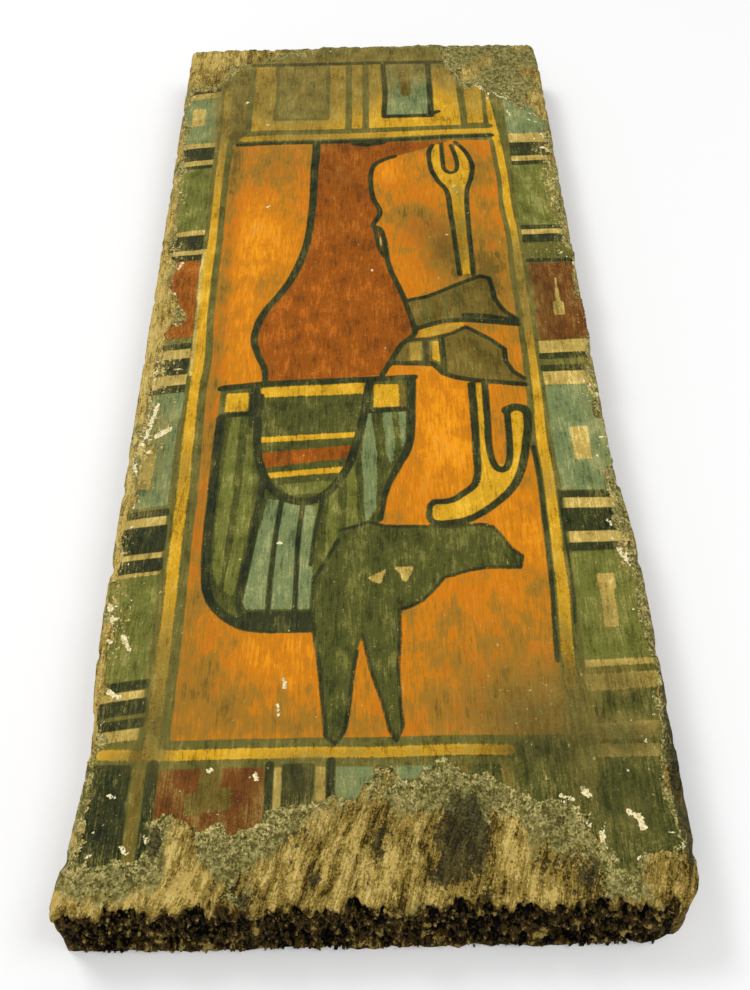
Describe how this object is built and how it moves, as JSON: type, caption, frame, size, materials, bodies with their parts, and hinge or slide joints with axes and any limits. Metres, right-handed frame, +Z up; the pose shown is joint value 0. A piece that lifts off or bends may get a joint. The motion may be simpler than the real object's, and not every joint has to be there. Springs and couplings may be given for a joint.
{
  "type": "painted coffin panel",
  "caption": "Flat painted plank from an ancient wooden coffin, lying face up, with a frayed broken end and worn painted ground.",
  "frame": {"origin": "middle of the flat underside", "axes": "+X across the plank, +Y along it from the broken end to the sound end, +Z up out of the painted face"},
  "size_m": [0.2264, 0.5296, 0.028],
  "materials": {
    "aged_wood": "bare, weathered, with open fibres"
  },
  "bodies": {
    "root": {"painted_plank": "aged_wood"}
  },
  "joints": []
}
